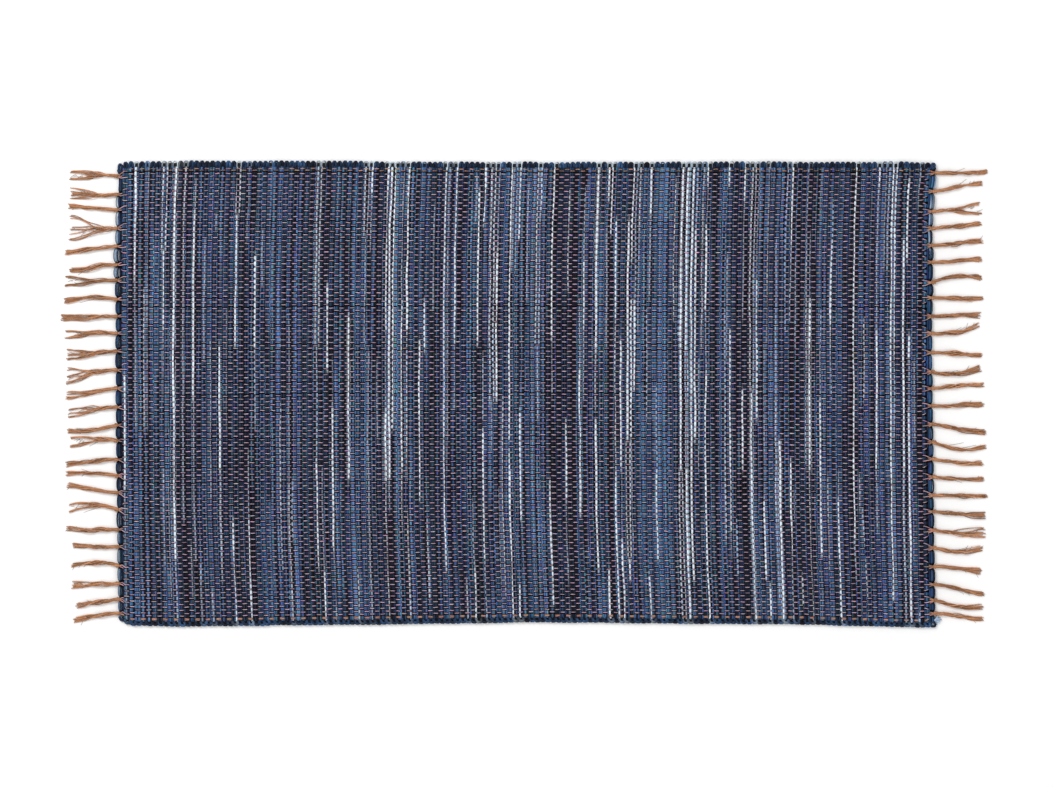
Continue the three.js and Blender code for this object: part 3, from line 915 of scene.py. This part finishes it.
def selvedge_loop(yarns, pick, out):
    """The turn of a pick round the edge, out of one strand and back into another."""
    half, past, lean, light = FAR_LOOP if out > 0 else NEAR_LOOP
    edge = EDGE_LINES[out][pick] + out * past
    last = WARP_Y[pick, -1 if out > 0 else 0]
    turn = np.linspace(-math.pi / 2, math.pi / 2, LOOP_STEPS)
    side = np.sign(turn) * np.abs(np.sin(turn)) ** LOOP_SQUARE
    round_turn = np.maximum(np.cos(turn), 0) ** LOOP_SQUARE
    edge -= out * rng.uniform(0, LOOP_JITTER)
    colour = dyed(rng.normal(*LOOP_TONE) + rng.normal(0, LOOP_MOTTLE, LOOP_STEPS))
    first = pick * STRANDS * PLIES
    undyed = np.zeros(LOOP_STEPS)
    for ply in range(STRANDS * PLIES):
        place = 2 * ply / (STRANDS * PLIES - 1) - 1
        near_ply = np.clip(1 - PLY_FALL * np.abs(side - place), PLY_LEAST, 1)
        for dye, cover, near, far in LIGHT_LENGTHS.get(first + ply, ()):
            if math.isinf(far if out > 0 else near):
                part = np.clip(light * cover * near_ply, 0, 1)
                colour = colour * (1 - part)[:, None] + dye * part[:, None]
                undyed = np.maximum(undyed, cover * near_ply)
    thin = undyed.max() if out > 0 else 0.0
    radius = LOOP_RADIUS * (1 + rng.normal(0, LOOP_WANDER)) * (1 - LOOP_THIN * thin)
    reach = out * (edge - last) - LOOP_STRAIGHT - radius
    y = last + out * (LOOP_STRAIGHT + reach * round_turn)
    x = half * (1 + LOOP_WIDEN * thin) * side + lean * round_turn
    z = MID_HEIGHT + LOOP_RISE * out * side * (1 if pick % 2 else -1)
    path = np.stack([lengthwise(PICK_SHARES[pick], y) + x, y, z], axis=1)
    yarns.add(path, round_section(np.full(LOOP_STEPS, radius), LOOP_SIDES), colour)


def chart_place(column, row):
    """Millimetres along and across of a chart place."""
    return (column - CHART_MIDDLE[0]) * CHART_STEP, (CHART_MIDDLE[1] - row) * CHART_STEP


def weft_tail(yarns):
    """Frayed end of the weft, fanned out at the near right corner."""
    root = chart_place(*TAIL_ROOT)
    for place in TAIL_TIPS:
        tip = chart_place(*place)
        t = np.linspace(0, 1, TAIL_STEPS)
        x = root[0] + (tip[0] - root[0]) * t
        y = root[1] + (tip[1] - root[1]) * t ** TAIL_CURVE + wander(t, *TAIL_WANDER)
        z = TAIL_RADIUS + MID_HEIGHT * (1 - t ** 2)
        radius = TAIL_RADIUS * (1 - TAIL_TAPER * t)
        dye = linear(PALE_DYE) * rng.uniform(*TAIL_SHADES) * np.ones((TAIL_STEPS, 1))
        yarns.add(np.stack([x, y, z], axis=1), round_section(radius, TAIL_SIDES), dye)


def make_weft(material):
    made = []
    cuts = np.linspace(0, PICK_COUNT, WEFT_PIECES + 1).astype(int)
    for part in range(WEFT_PIECES):
        yarns = Yarns()
        for pick in range(cuts[part], cuts[part + 1]):
            for k in range(STRANDS):
                weft_strand(yarns, pick, k)
            for out in (-1, 1):
                selvedge_loop(yarns, pick, out)
        if part == WEFT_PIECES - 1:
            weft_tail(yarns)
        made.append(yarns.make(f"weft_{part + 1}", material))
    return made


# Warp
def knot_of(side, y):
    """Place across of the knot that a warp yarn is tied into."""
    roots = END_ROOTS[side]
    return roots[np.argmin(np.abs(roots - y))]


def gather(side, x, y):
    """How far a warp yarn has turned towards its knot: 0 in the cloth, 1 at the end."""
    return smoothstep(1 - side * (end_line(side, y) - x) / GATHER_LENGTH[side])


def warp_yarn(yarns, row):
    """One warp yarn from tassel to tassel, which shows as a dash on every second pick."""
    over = (np.arange(PICK_COUNT) + WARP_TURN[row]) % 2 == 1
    knots = {-1: knot_of(-1, WARP_Y[0, row]), 1: knot_of(1, WARP_Y[-1, row])}
    over[0] = abs(WARP_Y[0, row] - knots[-1]) < KNOT_DRAW[-1]
    over[-1] = abs(WARP_Y[-1, row] - knots[1]) < KNOT_DRAW[1]
    edge = row in (0, 1, WARP_ROWS - 2, WARP_ROWS - 1)
    rise = EDGE_RISE if edge else 0.0
    x = []
    y = []
    z = []
    shade = []
    for pick in range(PICK_COUNT):
        place = WARP_Y[pick, row]
        centre = lengthwise(PICK_SHARES[pick], place)
        if over[pick]:
            x += [centre - DASH_REACH * PICK_PITCH, centre + DASH_REACH * PICK_PITCH]
            y += list(place + rng.normal(0, DASH_TILT, 2))
            z += [MID_HEIGHT + WARP_OVER + rise + rng.normal(0, DASH_RISE)] * 2
            shade += [rng.normal(1, DASH_TONE)] * 2
        else:
            x.append(centre)
            y.append(place)
            z.append(MID_HEIGHT - WARP_UNDER)
            shade.append(1.0)
    x = np.array(x)
    y = np.array(y)
    z = np.array(z)
    turned = np.zeros(len(x))
    for side in (-1, 1):
        turn = gather(side, x, y)
        y = y + (knots[side] - y) * GATHER_SHARE * turn
        turned = np.maximum(turned, turn)
    left = end_line(-1, knots[-1]) + WARP_TUCK
    right = end_line(1, knots[1]) - WARP_TUCK
    x = np.concatenate([[left], x, [right]])
    y = np.concatenate([[knots[-1]], y, [knots[1]]])
    z = np.concatenate([[MID_HEIGHT], z, [MID_HEIGHT]])
    turned = np.concatenate([[1.0], turned, [1.0]])[:, None]
    shade = np.concatenate([[1.0], shade, [1.0]]) + rng.normal(0, YARN_TONE)
    half = WARP_HALF_WIDTH * (1 + wander(x, *WARP_WANDER))
    section = flat_section(half, np.full(len(x), WARP_TOP), np.full(len(x), WARP_KEEL))
    dye = linear(EDGE_COPPER if edge else COPPER) * (1 - turned) + linear(FRINGE_COPPER) * turned
    dye = dye * (1 + rng.normal(0, DASH_HUE, dye.shape))
    # Points where the warp passes under the cloth get 0 and take painted shade; dashes and gathered ends
    # take none
    unshaded = np.where((z > MID_HEIGHT) | (turned[:, 0] > 0), 1.0, 0.0)
    dye = dye * np.clip(shade, *SHADE_LIMITS)[:, None]
    yarns.add(np.stack([x, y, z], axis=1), section, dye, unshaded)


def make_warp(material):
    made = []
    cuts = np.linspace(0, WARP_ROWS, WARP_PIECES + 1).astype(int)
    for part in range(WARP_PIECES):
        yarns = Yarns()
        for row in range(cuts[part], cuts[part + 1]):
            warp_yarn(yarns, row)
        made.append(yarns.make(f"warp_{part + 1}", material))
    return made


# Tassels
def knot(yarns, side, root):
    """The yarn wound round a tassel where it leaves the cloth."""
    turn = np.linspace(0, 2 * math.pi * KNOT_TURNS, KNOT_STEPS)
    along = np.linspace(*KNOT_RUN, KNOT_STEPS)
    phase = rng.uniform(0, 2 * math.pi)
    middle = np.sin(math.pi * np.linspace(0, 1, KNOT_STEPS))
    swell = KNOT_RADIUS * (KNOT_WAIST + (1 - KNOT_WAIST) * middle)
    path = np.stack([
        end_line(side, root) + side * along,
        root + swell * np.cos(turn + phase),
        np.maximum(KNOT_YARN, KNOT_RADIUS + KNOT_LIFT + swell * np.sin(turn + phase)),
    ], axis=1)
    shade = KNOT_SHADE + wander(turn, *KNOT_MOTTLE)
    radius = np.full(KNOT_STEPS, KNOT_YARN)
    radius[[0, -1]] *= KNOT_TAPER
    yarns.add(path, round_section(radius, KNOT_SIDES), linear(FRINGE_COPPER) * shade[:, None])


def hair(yarns, start, run, drift):
    """A loose fibre lying beside a tassel."""
    t = np.linspace(0, 1, HAIR_STEPS)
    x = start[0] + run * t
    y = start[1] + drift * t ** HAIR_CURVE
    z = HAIR_RADIUS + HAIR_LIFT * (1 - t) ** 2
    radius = np.linspace(HAIR_RADIUS, HAIR_TAPER * HAIR_RADIUS, HAIR_STEPS)
    tone = linear(HAIR_COPPER) * np.full((HAIR_STEPS, 1), rng.uniform(*HAIR_SHADES))
    yarns.add(np.stack([x, y, z], axis=1), round_section(radius, HAIR_SIDES), tone)


def tassel(yarns, side, root, tip, reach, spread, sway):
    """A knotted bunch of yarns that wind round each other and open towards the tip."""
    knot(yarns, side, root)
    start = end_line(side, root) - side * TASSEL_TUCK
    end = end_line(side, root) + side * (reach + TASSEL_EXTRA)
    s = np.linspace(0, 1, TASSEL_STEPS)
    wide = spread > TIGHT_SPREAD
    opens = rng.uniform(*(EARLY_OPENING if wide else LATE_OPENING))
    phase = rng.uniform(0, 2 * math.pi)
    turns = rng.uniform(*TASSEL_TURNS) * rng.choice([-1, 1])
    ramble = wander(s * reach, *RAMBLE) * smoothstep(RAMBLE_START * s)
    course = 0.5 * s + 0.5 * smoothstep(s)
    middle = root + (tip - root) * course + 4 * s * (1 - s) * sway + ramble
    places = rng.permutation(np.linspace(-0.5, 0.5, TASSEL_YARNS))
    if wide:
        clumps = np.linspace(-0.5, 0.5, rng.integers(*TASSEL_CLUMPS, endpoint=True))
        places = np.resize(clumps, TASSEL_YARNS) + rng.normal(0, CLUMP_SPREAD, TASSEL_YARNS)
    for number, place in enumerate(places):
        cut = 0.0 if number == 0 else rng.uniform(0, TASSEL_CUT)
        angle = phase + 2 * math.pi * (number / TASSEL_YARNS + turns * s)
        ring = TASSEL_RING * (1 + RING_WIDEN * s)
        opening = smoothstep((s - opens) / (1 - opens))
        tip_place = place * max(spread - 2 * TASSEL_YARN, LEAST_SPREAD) + rng.normal(0, TIP_JITTER)
        y = middle + ring * np.cos(angle) * (1 - opening) + tip_place * opening
        stray = rng.normal(0, TASSEL_LOOSE) * spread * np.sin(math.pi * s ** STRAY_PEAK)
        y = y + stray + wander(s * reach, *YARN_RAMBLE) * smoothstep(YARN_RAMBLE_START * s)
        z = TASSEL_YARN + TASSEL_RING * (1 + np.sin(angle)) * (1 - OPEN_SINK * opening)
        z = z + (MID_HEIGHT - TASSEL_YARN - TASSEL_RING) * (1 - smoothstep(DROP_RATE * s))
        radius = TASSEL_YARN * (1 + wander(s, YARN_WANDER_SPACING, YARN_RADIUS_WANDER))
        radius = radius * rng.uniform(*YARN_RADII)
        radius[-1] *= TIP_TAPER
        x = start + s * (end - side * cut - start)
        shade = rng.normal(*TASSEL_SHADE) + wander(s, YARN_WANDER_SPACING, YARN_SHADE_WANDER)
        tone = linear(FRINGE_COPPER) * np.clip(shade, *TASSEL_SHADE_LIMITS)[:, None]
        path = np.stack([x, y, np.maximum(radius, z)], axis=1)
        yarns.add(path, round_section(radius, TASSEL_SIDES), tone)
    for number in range(HAIRS):
        is_long = number < LONG_HAIRS
        at = rng.uniform(*(LONG_HAIR_START if is_long else SHORT_HAIR_START))
        run = rng.uniform(*(LONG_HAIR_RUN if is_long else SHORT_HAIR_RUN))
        run = min(run, abs(end - start) * (1 - at) + HAIR_PAST_TIP)
        beside = np.interp(at, s, middle)
        from_y = beside + rng.uniform(-HAIR_SCATTER, HAIR_SCATTER) * spread * at
        drift = np.interp(1, s, middle) - beside + rng.normal(0, HAIR_DRIFT)
        hair(yarns, (start + at * (end - start), from_y), side * run, drift)


def make_fringe(label, side, tassels, material):
    yarns = Yarns(columns=FRINGE_MAP_COLUMNS)
    for row in tassels:
        tassel(yarns, side, *row)
    piece = yarns.make(f"fringe_{label}", material)
    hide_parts(*[f"tassel_{label}_{n:02d}" for n in range(1, len(tassels) + 1)])
    return piece


# Inner sheet of painted shade
def make_ground(material):
    """Painted shade for the dark inside of the weave: one thin closed near-black flat sheet under the
    crowns, bowed as the picks are.
    """
    shares = np.linspace(0, 1, GROUND_COLUMNS)
    across = np.linspace(0, 1, GROUND_ROWS)
    x0 = (shares - 0.5) * (CLOTH_LENGTH - 2 * GROUND_INSET)
    near = near_edge(x0) + GROUND_SIDE_INSET
    far = far_edge(x0) - GROUND_SIDE_INSET
    y = near[:, None] + across * (far - near)[:, None]
    x = lengthwise(x0[:, None] / CLOTH_LENGTH + 0.5, y)
    heights = (GROUND_TOP, GROUND_BOTTOM)
    layers = [np.stack([x, y, np.full_like(x, z)], axis=2).reshape(-1, 3) for z in heights]
    points = np.concatenate(layers) * MM
    index = np.arange(GROUND_COLUMNS * GROUND_ROWS).reshape(GROUND_COLUMNS, GROUND_ROWS)
    under = index + index.size
    top = np.stack([index[:-1, :-1], index[1:, :-1], index[1:, 1:], index[:-1, 1:]], axis=2)
    base = np.stack([under[:-1, :-1], under[:-1, 1:], under[1:, 1:], under[1:, :-1]], axis=2)
    rim = np.concatenate([index[:, 0], index[-1, 1:], index[-2::-1, -1], index[0, -2:0:-1]])
    nxt = np.roll(rim, -1)
    side = np.stack([rim, rim + index.size, nxt + index.size, nxt], axis=1)
    mesh = bpy.data.meshes.new("shade_sheet")
    faces = np.concatenate([top.reshape(-1, 4), base.reshape(-1, 4), side])
    mesh.from_pydata(points.tolist(), [], faces.tolist())
    mesh.polygons.foreach_set("use_smooth", np.ones(len(mesh.polygons), bool))
    mesh.materials.append(material)
    piece = bpy.data.objects.new("shade_sheet", mesh)
    bpy.context.scene.collection.objects.link(piece)
    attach(piece, "root")
    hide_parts("woven_cloth")
    return piece


# Materials
def material_with(name):
    """A new node material, with its nodes, links and shader."""
    material = bpy.data.materials.new(name)
    material.use_nodes = True
    nodes = material.node_tree.nodes
    return material, nodes, material.node_tree.links, nodes["Principled BSDF"]


def noise(nodes, links, coordinates, scale, detail, stretch):
    """Noise over the piece's own space, stretched along the fibres."""
    mapping = nodes.new("ShaderNodeMapping")
    mapping.inputs["Scale"].default_value = stretch
    links.new(coordinates.outputs["Object"], mapping.inputs["Vector"])
    texture = nodes.new("ShaderNodeTexNoise")
    texture.inputs["Scale"].default_value = scale
    texture.inputs["Detail"].default_value = detail
    links.new(mapping.outputs["Vector"], texture.inputs["Vector"])
    return texture


def ranged(nodes, links, source, low, high):
    """A noise spread over a range of values."""
    span = nodes.new("ShaderNodeMapRange")
    span.inputs["From Min"].default_value = NOISE_BAND[0]
    span.inputs["From Max"].default_value = NOISE_BAND[1]
    span.inputs["To Min"].default_value = low
    span.inputs["To Max"].default_value = high
    links.new(source.outputs["Fac"], span.inputs["Value"])
    return span


def yarn_material(name, stretch, mottle, hollows, bump_height, sheen):
    """Dyed cotton yarn: dye from the points, mottled by fibres, with painted shade in the hollows, and with
    sheen and bump.
    """
    material, nodes, links, shader = material_with(name)
    coordinates = nodes.new("ShaderNodeTexCoord")
    dye = nodes.new("ShaderNodeVertexColor")
    dye.layer_name = "dye"
    fibre = noise(nodes, links, coordinates, *FIBRE_NOISE, stretch)
    depth = ranged(nodes, links, fibre, 1 - mottle, 1 + mottle)
    # Painted shade: the dye darkens towards HOLLOW_SHADE where a point's unshaded share is low, in the
    # hollows
    unshaded = nodes.new("ShaderNodeAttribute")
    unshaded.attribute_name = "unshaded"
    hollow = nodes.new("ShaderNodeMapRange")
    hollow.interpolation_type = "SMOOTHSTEP"
    hollow.inputs["From Min"].default_value = hollows[0]
    hollow.inputs["From Max"].default_value = hollows[1]
    hollow.inputs["To Min"].default_value = HOLLOW_SHADE
    links.new(unshaded.outputs["Fac"], hollow.inputs["Value"])
    shade = nodes.new("ShaderNodeMath")
    shade.operation = "MULTIPLY"
    links.new(hollow.outputs["Result"], shade.inputs[0])
    links.new(depth.outputs["Result"], shade.inputs[1])
    mixed = nodes.new("ShaderNodeVectorMath")
    mixed.operation = "SCALE"
    links.new(dye.outputs["Color"], mixed.inputs[0])
    links.new(shade.outputs["Value"], mixed.inputs["Scale"])
    links.new(mixed.outputs["Vector"], shader.inputs["Base Color"])
    fine = noise(nodes, links, coordinates, *FINE_NOISE, stretch)
    rough = ranged(nodes, links, fine, *YARN_ROUGHNESS)
    links.new(rough.outputs["Result"], shader.inputs["Roughness"])
    bump = nodes.new("ShaderNodeBump")
    bump.inputs["Strength"].default_value = YARN_BUMP
    bump.inputs["Distance"].default_value = bump_height
    links.new(fine.outputs["Fac"], bump.inputs["Height"])
    links.new(bump.outputs["Normal"], shader.inputs["Normal"])
    shader.inputs["Sheen Weight"].default_value = sheen
    shader.inputs["Sheen Roughness"].default_value = SHEEN_ROUGHNESS
    shader.inputs["Specular IOR Level"].default_value = YARN_SPECULAR
    return material


def ground_material():
    """Near-black painted shade for the inside of the weave, with a coarse fibre bump."""
    material, nodes, links, shader = material_with("shade_sheet")
    coordinates = nodes.new("ShaderNodeTexCoord")
    fibre = noise(nodes, links, coordinates, *GROUND_NOISE, GROUND_STRETCH)
    ramp = nodes.new("ShaderNodeValToRGB")
    dark = linear(GROUND_SHADE_COLOUR)
    for element, shade in zip(ramp.color_ramp.elements, GROUND_SHADES):
        element.color = (*(shade * dark), 1)
    links.new(fibre.outputs["Fac"], ramp.inputs["Fac"])
    links.new(ramp.outputs["Color"], shader.inputs["Base Color"])
    bump = nodes.new("ShaderNodeBump")
    bump.inputs["Strength"].default_value = GROUND_BUMP
    bump.inputs["Distance"].default_value = GROUND_BUMP_HEIGHT
    links.new(fibre.outputs["Fac"], bump.inputs["Height"])
    links.new(bump.outputs["Normal"], shader.inputs["Normal"])
    shader.inputs["Roughness"].default_value = GROUND_ROUGHNESS
    return material


# The rug. A yarn material's values: stretch along its fibres, mottle, hollows of painted shade, bump in
# metres, sheen
weft_material = yarn_material("weft_cotton", (1.0, 0.35, 1.0), 0.22, WEFT_HOLLOWS, 0.0004, 0.02)
warp_material = yarn_material("warp_cotton", (0.35, 1.0, 1.0), 0.16, WARP_HOLLOWS, 0.0003, 0.03)
fringe_material = yarn_material("fringe_cotton", (0.4, 1.0, 1.0), 0.2, WARP_HOLLOWS, 0.0003, 0.08)

ground = make_ground(ground_material())
weft = make_weft(weft_material)
warp = make_warp(warp_material)
fringe = [
    make_fringe("left", -1, LEFT_TASSELS, fringe_material),
    make_fringe("right", 1, RIGHT_TASSELS, fringe_material),
]

# The floor, the light and the camera
bpy.ops.mesh.primitive_plane_add(size=FLOOR_SIZE)
floor = bpy.context.object
floor.name = "floor"
floor_material, _, _, floor_shader = material_with("pale_floor")
floor_shader.inputs["Base Color"].default_value = FLOOR_COLOUR
floor_shader.inputs["Roughness"].default_value = FLOOR_ROUGHNESS
floor.data.materials.append(floor_material)

world = bpy.data.worlds.new("studio")
bpy.context.scene.world = world
world.use_nodes = True
sky = world.node_tree.nodes["Background"]
sky.inputs["Color"].default_value = SKY_COLOUR
sky.inputs["Strength"].default_value = SKY_STRENGTH


def softbox(name, place, size, power):
    """A round soft light that faces the rug's middle."""
    light = bpy.data.lights.new(name, "AREA")
    light.shape = "DISK"
    light.size = size
    light.energy = power
    lamp = bpy.data.objects.new(name, light)
    lamp.location = place
    lamp.rotation_euler = (-lamp.location).to_track_quat("-Z", "Y").to_euler()
    lamp.visible_camera = False
    bpy.context.scene.collection.objects.link(lamp)


for box in SOFTBOXES:
    softbox(*box)

camera_data = bpy.data.cameras.new("camera")
camera_data.lens = LENS
camera_data.sensor_width = SENSOR
camera = bpy.data.objects.new("camera", camera_data)
bpy.context.scene.collection.objects.link(camera)
camera.location = (
    (FRAME_WIDTH / 2 - CHART_MIDDLE[0]) * CHART_STEP * MM,
    (CHART_MIDDLE[1] - FRAME_HEIGHT / 2) * CHART_STEP * MM,
    FRAME_WIDTH * CHART_STEP * MM * LENS / SENSOR + 2 * MID_HEIGHT * MM,
)
camera_data.clip_end = CLIP_END
bpy.context.scene.camera = camera
bpy.context.scene.view_settings.view_transform = "Standard"
